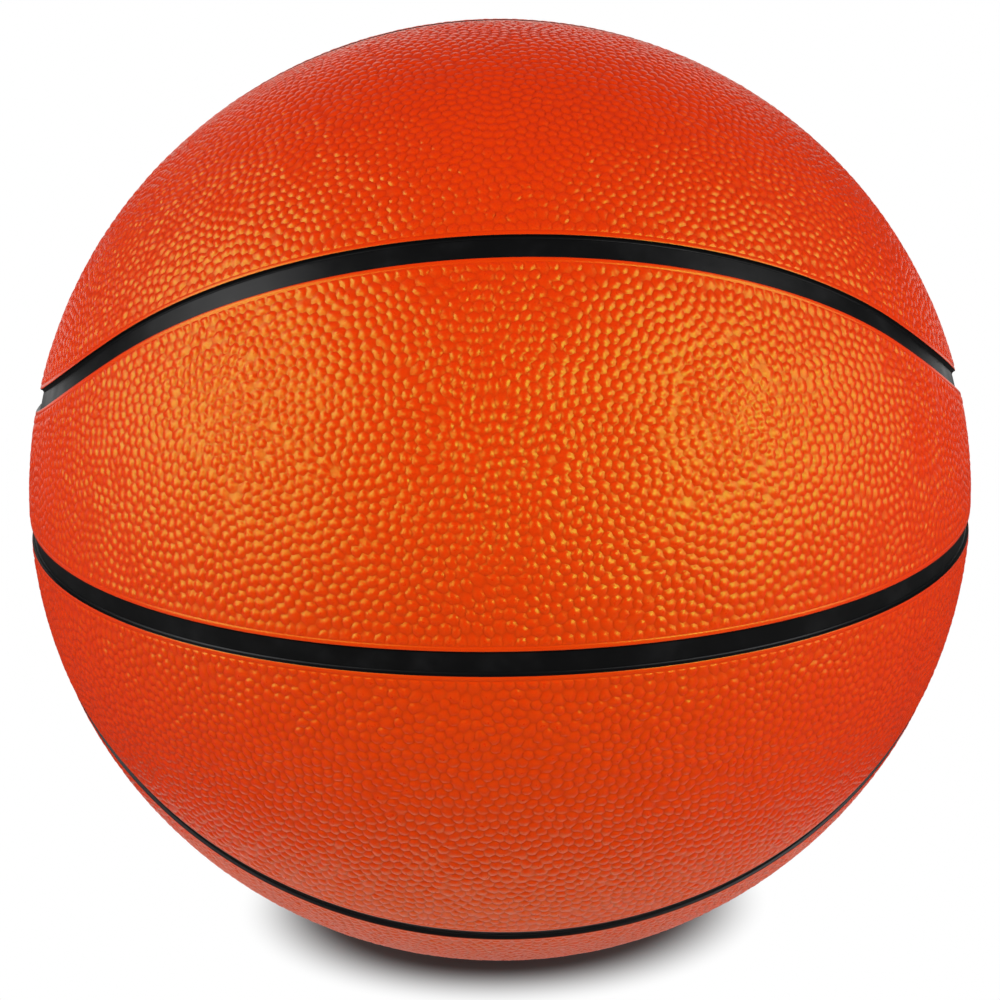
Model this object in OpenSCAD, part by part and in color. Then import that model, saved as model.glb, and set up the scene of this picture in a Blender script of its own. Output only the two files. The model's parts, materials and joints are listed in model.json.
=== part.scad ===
// Basketball of moulded rubber with eight pebbled panels and recessed black channels.
// The origin is the centre of the ball, +Z is up, and the panel side that faces the viewer is -Y.
// Millimetres and degrees.

/* [Ball] */
// Outer diameter, over the tops of the pebbles
ball_d = 240; // [219:1:249]

/* [Layers] */
// Thickness of the orange rubber cover
cover_t = 1.6; // [1.4:0.1:2.4]
// Thickness of the black strip in the bottom of a channel
strip_t = 0.5; // [0.3:0.1:0.8]
// Thickness of the rubber carcass under the cover
carcass_t = 0.6; // [0.4:0.1:1.2]
// Thickness of the nylon thread winding
winding_t = 0.35; // [0.25:0.05:0.8]
// Thickness of the bladder wall
bladder_t = 0.65; // [0.5:0.05:1.2]
// Thickness of the cement film between neighbouring pieces
bond_t = 0.05; // [0.04:0.01:0.1]

/* [Seams] */
// Width of the recessed channels
channel_w = 5.2; // [4:0.2:7]
// Lowest point of the upper curved seam above the level seam, at its middle line
curve_low = 29.5; // [26:0.5:34]
// Radius of the bend of a curved seam, seen from the end of the ball
curve_r = 92.5; // [84:0.5:98]
// Slope of the two straight stretches of a curved seam, seen from the end of the ball
curve_slope = 43; // [40:0.5:45]

/* [Valve] */
// Height of the valve on the back, as an angle above the level seam
valve_angle = 21; // [18:1:24]
// Diameter of the valve neck that shows in the cover
neck_d = 7; // [6:0.5:9]
// Depth of the neck's end below the cover's surface
neck_recess = 0.4; // [0.2:0.1:0.8]
// Diameter of the flange that is bonded to the bladder
flange_d = 22; // [18:1:28]
// Thickness of the flange
flange_t = 1.2; // [0.8:0.1:2]
// Diameter of the valve body inside the bladder
body_d = 10; // [9.5:0.5:12]
// Length of the valve body inside the bladder, from its end to the bladder wall
body_l = 15; // [12:0.5:20]
// Thickness of the body's end wall behind the plug
body_end_t = 1.6; // [1:0.1:3]
// Diameter of the self-sealing plug
plug_d = 4.4; // [4:0.1:5]
// Diameter of the plug's head
plug_head_d = 5.6; // [5.2:0.1:5.7]
// Thickness of the plug's head
plug_head_t = 0.9; // [0.6:0.1:1.4]
// Diameter of the inflating needle's channel
needle_d = 2.2; // [1.8:0.1:2.6]
// Diameter of the funnel that leads the needle in
funnel_d = 3.4; // [3:0.1:4]
// Depth of that funnel
funnel_t = 0.6; // [0.3:0.1:1]
// Diameter of the hole through the body's end wall
exit_d = 3; // [2.7:0.1:3.6]

/* [Hidden] */
$fn = 240;

// Radii of the layers, from the outside in
ball_r = ball_d / 2;
cover_in_r = ball_r - cover_t;
strip_out_r = cover_in_r + strip_t;
carcass_out_r = cover_in_r - bond_t;
carcass_in_r = carcass_out_r - carcass_t;
winding_out_r = carcass_in_r - bond_t;
winding_in_r = winding_out_r - winding_t;
bladder_out_r = winding_in_r - bond_t;
bladder_in_r = bladder_out_r - bladder_t;
flange_out_r = bladder_in_r - bond_t;
flange_in_r = flange_out_r - flange_t;

// Heights of the valve's pieces along its own axis, from the centre of the ball
neck_top_h = ball_r - neck_recess;
body_bottom_h = bladder_in_r - body_l;
plug_bottom_h = body_bottom_h + body_end_t + bond_t;
head_bottom_h = neck_top_h - plug_head_t;

// Middle of the curved seam's bend, on the height of its own axis
curve_mid_h = curve_low + curve_r;
// Straight steps round that bend
bend_steps = 24;
half_w = channel_w / 2;

// Overrun of cutting shapes past what they cut
over = ball_d;

// Colours
orange_rubber = [0.90, 0.30, 0.07];
black_rubber = [0.08, 0.08, 0.09];
butyl_rubber = [0.16, 0.16, 0.17];
carcass_rubber = [0.33, 0.31, 0.30];
nylon_thread = [0.86, 0.84, 0.78];
plug_rubber = [0.20, 0.20, 0.21];

// A hollow ball wall between two radii
module shell(out_r, in_r) {
    difference() {
        sphere(r = out_r);
        sphere(r = in_r);
    }
}

// Turns the Z axis onto the valve's axis, on the back of the ball
module on_valve_axis() {
    rotate([valve_angle - 90, 0, 0]) children();
}

// A hole for the valve neck through a layer
module neck_hole() {
    on_valve_axis() cylinder(d = neck_d + 2 * bond_t, h = over);
}

// A closed layer with its hole for the valve neck
module layer(out_r, in_r) {
    difference() {
        shell(out_r, in_r);
        neck_hole();
    }
}

// Pushes an outline drawn in (y, z) along X, right through the ball
module along_x() {
    rotate([90, 0, 90]) linear_extrude(height = 2 * over, center = true) children();
}

// Everything above the upper curved seam's middle line, seen from the end of the ball.
// Two straight flanks meet in a round bend. The edge is moved down by drop.
module above_curve(drop) {
    r = curve_r + drop;
    bend = [
        for (i = [0 : bend_steps])
            let (a = curve_slope * (2 * i / bend_steps - 1))
                [r * sin(a), curve_mid_h - r * cos(a)]
    ];
    far = bend[bend_steps] + over * [cos(curve_slope), sin(curve_slope)];
    polygon(concat(bend, [far, [-far.x, far.y]]));
}

// Everything over the level seam's upper edge and before the upright seam's front edge
module front_upper_quarter(edge) {
    translate([-over, edge]) square([over - edge, over]);
}

// Side panel between the level seam and the upper curved seam, on the front
module side_outline() {
    difference() {
        front_upper_quarter(half_w);
        above_curve(half_w);
    }
}

// Half of the cap inside the upper curved seam, on the front
module cap_outline() {
    intersection() {
        front_upper_quarter(half_w);
        above_curve(-half_w);
    }
}

// A cover panel of the given outline
module panel() {
    intersection() {
        shell(ball_r, cover_in_r);
        along_x() children();
    }
}

module side_panel() {
    color(orange_rubber) panel() side_outline();
}

module cap_panel() {
    color(orange_rubber) panel() cap_outline();
}

// Strips lie on the carcass between the panels, with a cement film on both sides
module strip() {
    intersection() {
        shell(strip_out_r, cover_in_r);
        along_x() children();
    }
}

module equator_strip() {
    color(black_rubber) strip() square([2 * over, channel_w - 2 * bond_t], center = true);
}

module curve_strip() {
    color(black_rubber) strip() difference() {
        above_curve(half_w - bond_t);
        above_curve(bond_t - half_w);
    }
}

// The upright seam's whole width over the level seam
module upright_outline() {
    translate([bond_t - half_w, half_w]) square([channel_w - 2 * bond_t, over]);
}

module arch_strip() {
    color(black_rubber) strip() intersection() {
        upright_outline();
        above_curve(-half_w);
    }
}

// One of the two links beside the upper curved seam, on the +X end of the ball
module link_strip() {
    color(black_rubber) intersection() {
        strip() difference() {
            upright_outline();
            above_curve(half_w);
        }
        translate([0, -over, 0]) cube([over, 2 * over, over]);
    }
}

module to_back() {
    mirror([0, 1, 0]) children();
}

module to_bottom() {
    mirror([0, 0, 1]) children();
}

module to_left() {
    mirror([1, 0, 0]) children();
}

module bladder() {
    color(butyl_rubber) layer(bladder_out_r, bladder_in_r);
}

module winding() {
    color(nylon_thread) layer(winding_out_r, winding_in_r);
}

module carcass() {
    color(carcass_rubber) layer(carcass_out_r, carcass_in_r);
}

// The back upper side panel also lets the valve neck through
module valve_panel() {
    color(orange_rubber) difference() {
        to_back() panel() side_outline();
        neck_hole();
    }
}

// The hollow that the plug fills, with the seat of its head
module plug_space(gap) {
    translate([0, 0, plug_bottom_h - gap])
        cylinder(d = plug_d + 2 * gap, h = neck_top_h - plug_bottom_h + gap);
    translate([0, 0, head_bottom_h - gap])
        cylinder(d = plug_head_d + 2 * gap, h = plug_head_t + gap);
}

module valve_housing() {
    color(butyl_rubber) difference() {
        union() {
            intersection() {
                shell(flange_out_r, flange_in_r);
                on_valve_axis() cylinder(d = flange_d, h = over);
            }
            on_valve_axis() translate([0, 0, body_bottom_h])
                cylinder(d = neck_d, h = neck_top_h - body_bottom_h);
            intersection() {
                sphere(r = flange_out_r);
                on_valve_axis() translate([0, 0, body_bottom_h])
                    cylinder(d = body_d, h = over);
            }
        }
        on_valve_axis() plug_space(bond_t);
        on_valve_axis() translate([0, 0, neck_top_h - bond_t])
            cylinder(d = plug_head_d + 2 * bond_t, h = over);
        on_valve_axis() cylinder(d = exit_d, h = neck_top_h);
    }
}

module valve_plug() {
    color(plug_rubber) on_valve_axis() difference() {
        plug_space(0);
        cylinder(d = needle_d, h = over);
        translate([0, 0, neck_top_h - funnel_t])
            cylinder(d1 = needle_d, d2 = funnel_d, h = funnel_t);
    }
}

bladder();
valve_housing();
valve_plug();
winding();
carcass();
side_panel();  // side_panel_front_upper
to_bottom() side_panel();  // side_panel_front_lower
valve_panel();  // side_panel_back_upper
to_back() to_bottom() side_panel();  // side_panel_back_lower
cap_panel();  // cap_panel_front_top
to_back() cap_panel();  // cap_panel_back_top
to_bottom() cap_panel();  // cap_panel_front_bottom
to_back() to_bottom() cap_panel();  // cap_panel_back_bottom
equator_strip();  // channel_equator
curve_strip();  // channel_curve_upper
to_bottom() curve_strip();  // channel_curve_lower
arch_strip();  // channel_arch_top
to_bottom() arch_strip();  // channel_arch_bottom
link_strip();  // channel_link_right_upper
to_bottom() link_strip();  // channel_link_right_lower
to_left() link_strip();  // channel_link_left_upper
to_left() to_bottom() link_strip();  // channel_link_left_lower
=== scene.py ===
import functools
import json
import math

import bpy
import numpy as np
from bpy.props import FloatProperty, FloatVectorProperty, IntProperty, PointerProperty
from mathutils import Euler, Matrix, Vector
from mathutils.geometry import delaunay_2d_cdt
from mathutils.kdtree import KDTree


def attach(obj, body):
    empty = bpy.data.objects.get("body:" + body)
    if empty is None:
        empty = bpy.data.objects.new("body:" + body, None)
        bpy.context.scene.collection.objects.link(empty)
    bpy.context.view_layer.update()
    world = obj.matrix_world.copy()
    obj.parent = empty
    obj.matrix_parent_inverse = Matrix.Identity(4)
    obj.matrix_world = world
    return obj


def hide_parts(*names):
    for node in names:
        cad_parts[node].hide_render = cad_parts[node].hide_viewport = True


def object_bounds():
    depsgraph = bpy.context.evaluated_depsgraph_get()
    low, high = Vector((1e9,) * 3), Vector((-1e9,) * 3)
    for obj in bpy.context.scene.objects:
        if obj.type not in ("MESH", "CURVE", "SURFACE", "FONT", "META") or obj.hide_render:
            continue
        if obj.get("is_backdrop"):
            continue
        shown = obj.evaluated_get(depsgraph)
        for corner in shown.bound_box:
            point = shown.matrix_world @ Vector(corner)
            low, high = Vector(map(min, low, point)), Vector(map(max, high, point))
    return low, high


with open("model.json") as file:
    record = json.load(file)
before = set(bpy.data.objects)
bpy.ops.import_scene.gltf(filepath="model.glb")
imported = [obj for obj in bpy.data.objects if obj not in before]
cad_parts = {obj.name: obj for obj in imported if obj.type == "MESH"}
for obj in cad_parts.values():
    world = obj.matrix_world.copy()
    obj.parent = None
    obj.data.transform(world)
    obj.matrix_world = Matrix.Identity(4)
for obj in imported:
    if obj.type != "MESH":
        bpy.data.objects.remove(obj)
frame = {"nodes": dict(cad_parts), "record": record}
cad_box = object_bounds()

bl_info = {
    "name": "Moulded rubber basketball",
    "version": (1, 0, 0),
    "blender": (4, 5, 0),
    "location": "3D View > Sidebar > Basketball",
    "description": "Pebbled panels, channels, valve and inner layers of a basketball, in a plain studio",
    "category": "Add Mesh",
}

# The ball's radius and the valve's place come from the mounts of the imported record
MOUNTS = {mount["name"]: mount for mount in frame["record"]["mounts"]}
REST_POINT = Vector(MOUNTS["rest_point"]["pos_m"])
VALVE_AXIS = np.array(MOUNTS["needle_hole"]["axis"])
BALL_R = REST_POINT.length
UP = np.array((0.0, 0.0, 1.0))

# The body that every piece rides on
BODY = "root"
WHITE = (1.0, 1.0, 1.0)

# Each panel's node, with the signs of Y and Z on its side of the ball
SIDE_PANELS = {
    "side_panel_front_upper": (-1, 1),
    "side_panel_front_lower": (-1, -1),
    "side_panel_back_upper": (1, 1),
    "side_panel_back_lower": (1, -1),
}
CAP_PANELS = {
    "cap_panel_front_top": (-1, 1),
    "cap_panel_back_top": (1, 1),
    "cap_panel_front_bottom": (-1, -1),
    "cap_panel_back_bottom": (1, -1),
}
VALVE_PANEL = "side_panel_back_upper"

# Direction, size and share of the power of each softbox; they stand in two curved walls
LAMPS = {
    "left_back": ((-0.83, -0.04, 0.55), (0.35, 0.45), 0.10),
    "left_high": ((-0.78, -0.35, 0.50), (0.35, 0.45), 0.19),
    "left_low": ((-0.90, -0.40, 0.12), (0.35, 0.30), 0.11),
    "left_front": ((-0.55, -0.75, 0.36), (0.35, 0.35), 0.10),
    "right_high": ((0.78, -0.35, 0.50), (0.35, 0.45), 0.18),
    "right_low": ((0.90, -0.40, 0.12), (0.35, 0.30), 0.08),
    "right_front": ((0.55, -0.75, 0.36), (0.35, 0.35), 0.24),
}
RIM_LIGHT = (0.0, 0.90, 0.42)
RIM_SIZE = (1.2, 0.3)

# The round floor, with the depths behind the ball between which rays that the ball mirrors see it turn
# white, and the same for the room, as the depth of a ray's direction
FLOOR_R = 6.0
FLOOR_SIDES = 96
WHITE_FLOOR = (5 * BALL_R, 10 * BALL_R)
WHITE_ROOM = (0.9, 0.98)

# Things closer to the camera than this aren't drawn
CAMERA_NEAR = 0.01


class BallSizes(bpy.types.PropertyGroup):
    """Sizes of the cover and its seams"""

    cover_t: FloatProperty(
        name="Cover thickness", description="Thickness of the orange rubber cover",
        default=0.0016, min=0.001, max=0.003, unit="LENGTH")
    strip_t: FloatProperty(
        name="Strip thickness", description="Thickness of the black strip in a channel",
        default=0.0005, min=0.0002, max=0.001, unit="LENGTH")
    bond_t: FloatProperty(
        name="Cement film", description="Gap that the cement fills between two pieces",
        default=0.00005, min=0.0, max=0.0002, unit="LENGTH")
    channel_w: FloatProperty(
        name="Channel width", description="Width of the recessed channels",
        default=0.0052, min=0.004, max=0.007, unit="LENGTH")
    curve_low: FloatProperty(
        name="Curve height", description="Lowest point of a curved seam over the level seam",
        default=0.0295, min=0.026, max=0.034, unit="LENGTH")
    curve_r: FloatProperty(
        name="Curve bend", description="Radius of a curved seam's bend, seen from the ball's end",
        default=0.0925, min=0.084, max=0.098, unit="LENGTH")
    curve_slope: FloatProperty(
        name="Curve slope", description="Slope of a curved seam's straight stretches",
        default=math.radians(43), min=math.radians(40), max=math.radians(45), unit="ROTATION")
    corner_r: FloatProperty(
        name="Corner rounding", description="Length of each panel edge that its rounded corner takes",
        default=0.002, min=0.0015, max=0.004, unit="LENGTH")
    neck_hole_d: FloatProperty(
        name="Valve hole", description="Diameter of the hole in the cover for the valve neck",
        default=0.0071, min=0.006, max=0.0092, unit="LENGTH")


class PebbleSizes(bpy.types.PropertyGroup):
    """Sizes of the moulded pebble grain"""

    pitch: FloatProperty(
        name="Pebble pitch", description="Distance between the middles of neighbouring pebbles",
        default=0.0024, min=0.0018, max=0.004, unit="LENGTH")
    height: FloatProperty(
        name="Pebble height", description="Height of a pebble's top over the deepest groove",
        default=0.00045, min=0.0001, max=0.0006, unit="LENGTH")
    rosette: FloatProperty(
        name="Rosette spacing", description="Distance between the middles of the rosettes of pebbles",
        default=0.0255, min=0.012, max=0.05, unit="LENGTH")
    lip_w: FloatProperty(
        name="Lip width", description="Width of the smooth lip along a channel",
        default=0.001, min=0.0005, max=0.0012, unit="LENGTH")
    lip_drop: FloatProperty(
        name="Lip drop", description="Depth of the lip's surface below the pebbles' tops",
        default=0.00013, min=0.0, max=0.0003, unit="LENGTH")
    first_row: FloatProperty(
        name="First row", description="Distance of the first row of pebbles from the lip",
        default=0.001, min=0.0008, max=0.002, unit="LENGTH")
    fillet_w: FloatProperty(
        name="Channel fillet", description="Width of the fillet in the bottom corner of a channel",
        default=0.0005, min=0.0002, max=0.001, unit="LENGTH")
    seed: IntProperty(
        name="Seed", description="Number that the scatter of the rosettes starts from",
        default=11, min=0)


class RubberColours(bpy.types.PropertyGroup):
    """Colours of the rubbers and of the thread"""

    orange: FloatVectorProperty(
        name="Pebble tops", description="Colour of the cover on the pebbles' tops",
        default=(0.69, 0.025, 0.0006), size=3, min=0.0, max=1.0, subtype="COLOR")
    # The grooves' darker colour is painted shade
    groove: FloatVectorProperty(
        name="Grooves", description="Colour of the cover deep in the grooves",
        default=(0.61, 0.016, 0.0003), size=3, min=0.0, max=1.0, subtype="COLOR")
    sheen: FloatVectorProperty(
        name="Sheen", description="Tint of what the orange rubber reflects",
        default=(0.34, 1.0, 0.09), size=3, min=0.0, max=1.0, subtype="COLOR")
    black: FloatVectorProperty(
        name="Channels", description="Colour of the black rubber in the channels",
        default=(0.0032, 0.0032, 0.0034), size=3, min=0.0, max=1.0, subtype="COLOR")
    valve: FloatVectorProperty(
        name="Valve", description="Colour of the valve housing",
        default=(0.013, 0.013, 0.0135), size=3, min=0.0, max=1.0, subtype="COLOR")
    plug: FloatVectorProperty(
        name="Plug", description="Colour of the self-sealing plug",
        default=(0.032, 0.031, 0.03), size=3, min=0.0, max=1.0, subtype="COLOR")
    butyl: FloatVectorProperty(
        name="Bladder", description="Colour of the butyl bladder",
        default=(0.02, 0.02, 0.022), size=3, min=0.0, max=1.0, subtype="COLOR")
    dust: FloatVectorProperty(
        name="Moulding dust", description="Colour of the dusting powder on the inner layers",
        default=(0.35, 0.34, 0.32), size=3, min=0.0, max=1.0, subtype="COLOR")
    thread: FloatVectorProperty(
        name="Thread", description="Colour of the nylon thread",
        default=(0.72, 0.69, 0.6), size=3, min=0.0, max=1.0, subtype="COLOR")
    carcass: FloatVectorProperty(
        name="Carcass", description="Colour of the rubber sheet under the cover",
        default=(0.09, 0.08, 0.075), size=3, min=0.0, max=1.0, subtype="COLOR")


class StudioSettings(bpy.types.PropertyGroup):
    """Camera and lamps of the plain studio"""

    elevation: FloatProperty(
        name="Camera elevation", description="Height of the camera as an angle over the level seam",
        default=math.radians(17.0), unit="ROTATION")
    azimuth: FloatProperty(
        name="Camera azimuth", description="Turn of the camera round the ball from its front",
        default=math.radians(-2.2), unit="ROTATION")
    roll: FloatProperty(
        name="Camera roll", description="Turn of the camera about its own line of sight",
        default=math.radians(-0.64), unit="ROTATION")
    distance: FloatProperty(
        name="Camera distance", description="Distance of the camera from the middle of the ball",
        default=0.48, min=0.3, unit="LENGTH")
    lens: FloatProperty(
        name="Lens", description="Focal length in millimetres on a sensor 36 mm wide",
        default=65.7, min=20.0)
    shift: FloatProperty(
        name="Lens shift", description="Upward shift of the lens as a share of the picture's width",
        default=-0.0104)
    lamp_power: FloatProperty(
        name="Softboxes", description="Power of the side softboxes together in watts",
        default=12.6, min=0.0)
    lamp_distance: FloatProperty(
        name="Softbox distance", description="Distance of the side softboxes from the ball's middle",
        default=0.9, min=0.2, unit="LENGTH")
    rim_power: FloatProperty(
        name="Rim light", description="Power of the long lamp behind the ball in watts",
        default=0.9, min=0.0)
    rim_distance: FloatProperty(
        name="Rim light distance", description="Distance of the long lamp from the ball's middle",
        default=1.0, min=0.2, unit="LENGTH")
    room: FloatProperty(
        name="Room light", description="Strength of the even light from the room",
        default=0.3, min=0.0, max=1.0)
    mirrored_room: FloatProperty(
        name="Mirrored room", description="Strength of the room's light, as the rubber mirrors it",
        default=0.05, min=0.0, max=1.0)
    floor: FloatVectorProperty(
        name="Floor", description="Colour of the floor, as the light on the ball meets it",
        default=(0.6, 0.6, 0.6), size=3, min=0.0, max=1.0, subtype="COLOR")
    mirrored_near: FloatVectorProperty(
        name="Mirrored floor near", description="Colour of the floor by the ball, as the rubber mirrors it",
        default=(0.9, 0.9, 0.9), size=3, min=0.0, max=1.0, subtype="COLOR")
    mirrored_far: FloatVectorProperty(
        name="Mirrored floor far", description="Colour of the floor further off, as the rubber mirrors it",
        default=(0.08, 0.08, 0.08), size=3, min=0.0, max=1.0, subtype="COLOR")
    mirrored_edge: FloatVectorProperty(
        name="Mirrored edge", description="Where the mirrored floor starts to darken and where it ends",
        default=(0.12, 0.15), size=2, min=0.0, subtype="NONE", unit="LENGTH")
    # In view, the floor round the ball takes this darker colour, which paints shade over the real shadow
    # that the lamps cast; the two settings below set where that painted shade fades to white and its shape
    painted_shade: FloatVectorProperty(
        name="Shade", description="Colour of the floor under the ball, which fades to white in view",
        default=(0.1, 0.1, 0.1), size=3, min=0.0, max=1.0, subtype="COLOR")
    shadow: FloatVectorProperty(
        name="Shadow", description="Where the shadow starts to fade and where it ends, from the ball",
        default=(0.037, 0.056), size=2, min=0.0, subtype="NONE", unit="LENGTH")
    spread: FloatProperty(
        name="Shadow shape", description="Depth of the shadow as a share of its width",
        default=0.75, min=0.1, max=1.0)


def unit(vectors):
    """The vectors, each with a length of one"""
    return vectors / np.linalg.norm(vectors, axis=-1, keepdims=True)


def run_along(points):
    """The length run from the first point to each point of a line"""
    steps = np.linalg.norm(np.diff(points, axis=0), axis=1)
    return np.concatenate([[0.0], np.cumsum(steps)])


def points_at(line, run, places):
    """The points of a line at the given lengths along it"""
    return np.column_stack([np.interp(places, run, line[:, axis]) for axis in range(3)])


def evenly(line, step):
    """Points on the ball in even steps round a closed line, in an even number"""
    line = np.vstack([line, line[:1]])
    run = run_along(line)
    count = 2 * round(run[-1] / step / 2)
    places = np.linspace(0.0, run[-1], count + 1)[:-1]
    return unit(points_at(line, run, places)) * BALL_R


def runs_after(first, rings):
    """The numbers of the points of each ring, where the rings follow the first points one by one"""
    starts = np.cumsum([first] + [len(ring) for ring in rings])
    return [np.arange(start, end) for start, end in zip(starts, starts[1:])]


def tree_of(points):
    """A search tree that gives a point's number"""
    tree = KDTree(len(points))
    for index, point in enumerate(points):
        tree.insert(point, index)
    tree.balance()
    return tree


# Seams and panel outlines.
# They are drawn on a quarter of the ball, in X, depth from the upright seam, and height.

# Points along an edge, round a corner and round the valve's hole, before they are spaced evenly
LINE_STEPS = 400
CORNER_STEPS = 12
HOLE_STEPS = 64

# Points of a panel's flat map that lie closer together than this are one
SAME_POINT = 1e-9


def curve_height(depth, drop, sizes):
    """Height of a curved seam's line at each depth, with the line moved down by drop"""
    radius = sizes.curve_r + drop
    middle = sizes.curve_low + sizes.curve_r
    slope = sizes.curve_slope
    bend_end = radius * math.sin(slope)
    bend = middle - np.sqrt(np.maximum(radius**2 - depth**2, 0.0))
    flank = middle - radius * math.cos(slope) + (depth - bend_end) * math.tan(slope)
    return np.where(depth < bend_end, bend, flank)


def curve_reach(drop, sizes):
    """The depth at which a curved seam's line crosses the middle of the ball's front"""
    slope = math.tan(sizes.curve_slope)
    start = float(curve_height(np.array(BALL_R), drop, sizes)) - slope * BALL_R
    square = 1.0 + slope**2
    return (math.sqrt(square * BALL_R**2 - start**2) - slope * start) / square


def curve_edge(drop, near, sizes):
    """A curved seam's line from the -X end of the ball over its front to the +X end"""
    turn = np.linspace(-math.pi / 2, math.pi / 2, LINE_STEPS)
    depth = near + (curve_reach(drop, sizes) - near) * np.cos(turn)
    height = curve_height(depth, drop, sizes)
    across = np.sqrt(np.maximum(BALL_R**2 - depth**2 - height**2, 0.0))
    return np.column_stack([np.sign(turn) * across, depth, height])


def level_edge(half_w):
    """The level seam's upper edge from the +X end of the ball to the -X end"""
    circle_r = math.sqrt(BALL_R**2 - half_w**2)
    reach = math.acos(half_w / circle_r)
    turn = np.linspace(reach, -reach, LINE_STEPS)
    return np.column_stack(
        [circle_r * np.sin(turn), circle_r * np.cos(turn), np.full(LINE_STEPS, half_w)])


def upright_edge(half_w, low, high, side):
    """The upright seam's edge between two heights at the +X (1) or -X (-1) end of the ball"""
    height = np.linspace(low, high, LINE_STEPS)
    across = np.sqrt(BALL_R**2 - half_w**2 - height**2)
    return np.column_stack([side * across, np.full(LINE_STEPS, half_w), height])


def over_the_top(half_w, low):
    """The upright seam's edge from the -X end, over the ball, to the +X end"""
    circle_r = math.sqrt(BALL_R**2 - half_w**2)
    start = math.asin(low / circle_r)
    turn = np.linspace(math.pi - start, start, LINE_STEPS)
    return np.column_stack(
        [circle_r * np.cos(turn), np.full(LINE_STEPS, half_w), circle_r * np.sin(turn)])


def side_panel_edges(sizes):
    """The four edges of a side panel, with the panel on their left seen from outside"""
    half_w = sizes.channel_w / 2
    top = curve_edge(half_w, half_w, sizes)
    return [
        level_edge(half_w),
        upright_edge(half_w, half_w, top[0, 2], -1),
        top,
        upright_edge(half_w, top[-1, 2], half_w, 1),
    ]


def cap_panel_edges(sizes):
    """The two edges of a cap panel, with the panel on their left seen from outside"""
    half_w = sizes.channel_w / 2
    bottom = curve_edge(-half_w, half_w, sizes)
    return [bottom[::-1], over_the_top(half_w, bottom[0, 2])]


def rounded_loop(edges, cut):
    """One closed line through the edges, with each corner rounded over the length cut"""
    shortened = []
    for edge in edges:
        run = run_along(edge)
        shortened.append(points_at(edge, run, np.linspace(cut, run[-1] - cut, LINE_STEPS)))
    share = np.linspace(0.0, 1.0, CORNER_STEPS)[1:-1, None]
    line = []
    for here, after, edge in zip(shortened, shortened[1:] + shortened[:1], edges):
        corner = (1 - share) ** 2 * here[-1] + 2 * share * (1 - share) * edge[-1]
        line += [here, corner + share**2 * after[0]]
    return np.vstack(line)


class Loop:
    """A closed line on the ball, with the panel on its left, and the directions that lead into it"""

    def __init__(self, line, step):
        self.points = evenly(line, step)
        self.outward = unit(self.points)
        ahead = np.roll(self.points, -1, axis=0) - np.roll(self.points, 1, axis=0)
        self.into = unit(np.cross(self.outward, ahead))

    def ring(self, inset, drop):
        """The loop moved into the panel by inset, at the depth drop below the ball's surface"""
        angle = inset / BALL_R
        return (self.outward * math.cos(angle) + self.into * math.sin(angle)) * (BALL_R - drop)


def circle_loop(axis, radius, step):
    """A loop round a hole, which runs clockwise so that the panel is on its left"""
    side = unit(np.cross(axis, UP))
    turn = np.linspace(0.0, -2 * math.pi, HOLE_STEPS, endpoint=False)[:, None]
    rim = np.cos(turn) * side + np.sin(turn) * np.cross(axis, side)
    angle = radius / BALL_R
    return Loop((axis * math.cos(angle) + rim * math.sin(angle)) * BALL_R, step)


class Chart:
    """A flat map of a panel seen from its middle, which keeps angles, for triangulation"""

    def __init__(self, middle):
        self.middle = middle
        self.right = unit(np.cross(UP, middle))
        self.up = np.cross(middle, self.right)

    def flat(self, points):
        """The points' places on the map"""
        outward = unit(points)
        scale = 2.0 / (1.0 + outward @ self.middle)
        return np.column_stack([outward @ self.right, outward @ self.up]) * scale[:, None]

    def triangles(self, points, borders=()):
        """Triangles between the points, inside the borders if there are any"""
        edges = [
            (int(a), int(b)) for border in borders for a, b in zip(border, np.roll(border, -1))]
        flat = [Vector(point) for point in self.flat(points)]
        output = 1 if edges else 0
        found = delaunay_2d_cdt(flat, edges, [], output, SAME_POINT)
        if len(found[0]) != len(points):
            raise RuntimeError("The triangulation of a panel joined or added points")
        return np.array(found[2])

    def inside(self, points, runs):
        """Triangles between the points, inside the first run of them and outside the others"""
        triangles = self.triangles(points, runs)
        for run in runs[1:]:
            in_hole = (triangles >= run[0]) & (triangles <= run[-1])
            triangles = triangles[~in_hole.all(axis=1)]
        return triangles


def pairs_of(triangles):
    """Each pair of neighbouring points once, and the pair's number on each side of each triangle"""
    sides = np.stack([triangles, np.roll(triangles, -1, axis=1)], axis=-1)
    pairs, number = np.unique(np.sort(sides.reshape(-1, 2), axis=1), axis=0, return_inverse=True)
    return pairs, number.reshape(-1, 3)


# Layout of the pebbles, in shares of their pitch where nothing else is said

# Scatter of the rosettes' middles and reach of their outermost rings, as shares of their spacing
ROSETTE_SCATTER_SHARE = 0.17
ROSETTE_REACH_SHARE = 1.1

# Step along a ring
RING_STEP_SHARE = 0.98

# How far a ring's pebbles run into each other, from 0 to 1: the mean of a swing round the ring, and the
# same all along the row at an edge
RIDGE_MEAN = 0.35
RIDGE_AT_EDGE = 0.2

# A number larger than the rows of any rosette, which keeps the rows of two rosettes apart
ROWS_OF_ROSETTE = 100

# How far the rosettes stay off the edge's row, and how close two pebbles may come at first
CLEAR_SHARE = 0.78
CROWDED_SHARE = 0.74

# The distance that crowded pebbles are pushed to, and how often, before and after the gaps are filled
PUSHED_SHARE = 1.02
FIRST_ROUNDS = 2
LAST_ROUNDS = 5

# How wide a gap takes one more pebble, and how far apart such pebbles stay
GAP_SHARE = 0.75
FILLED_SHARE = 0.9


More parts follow.
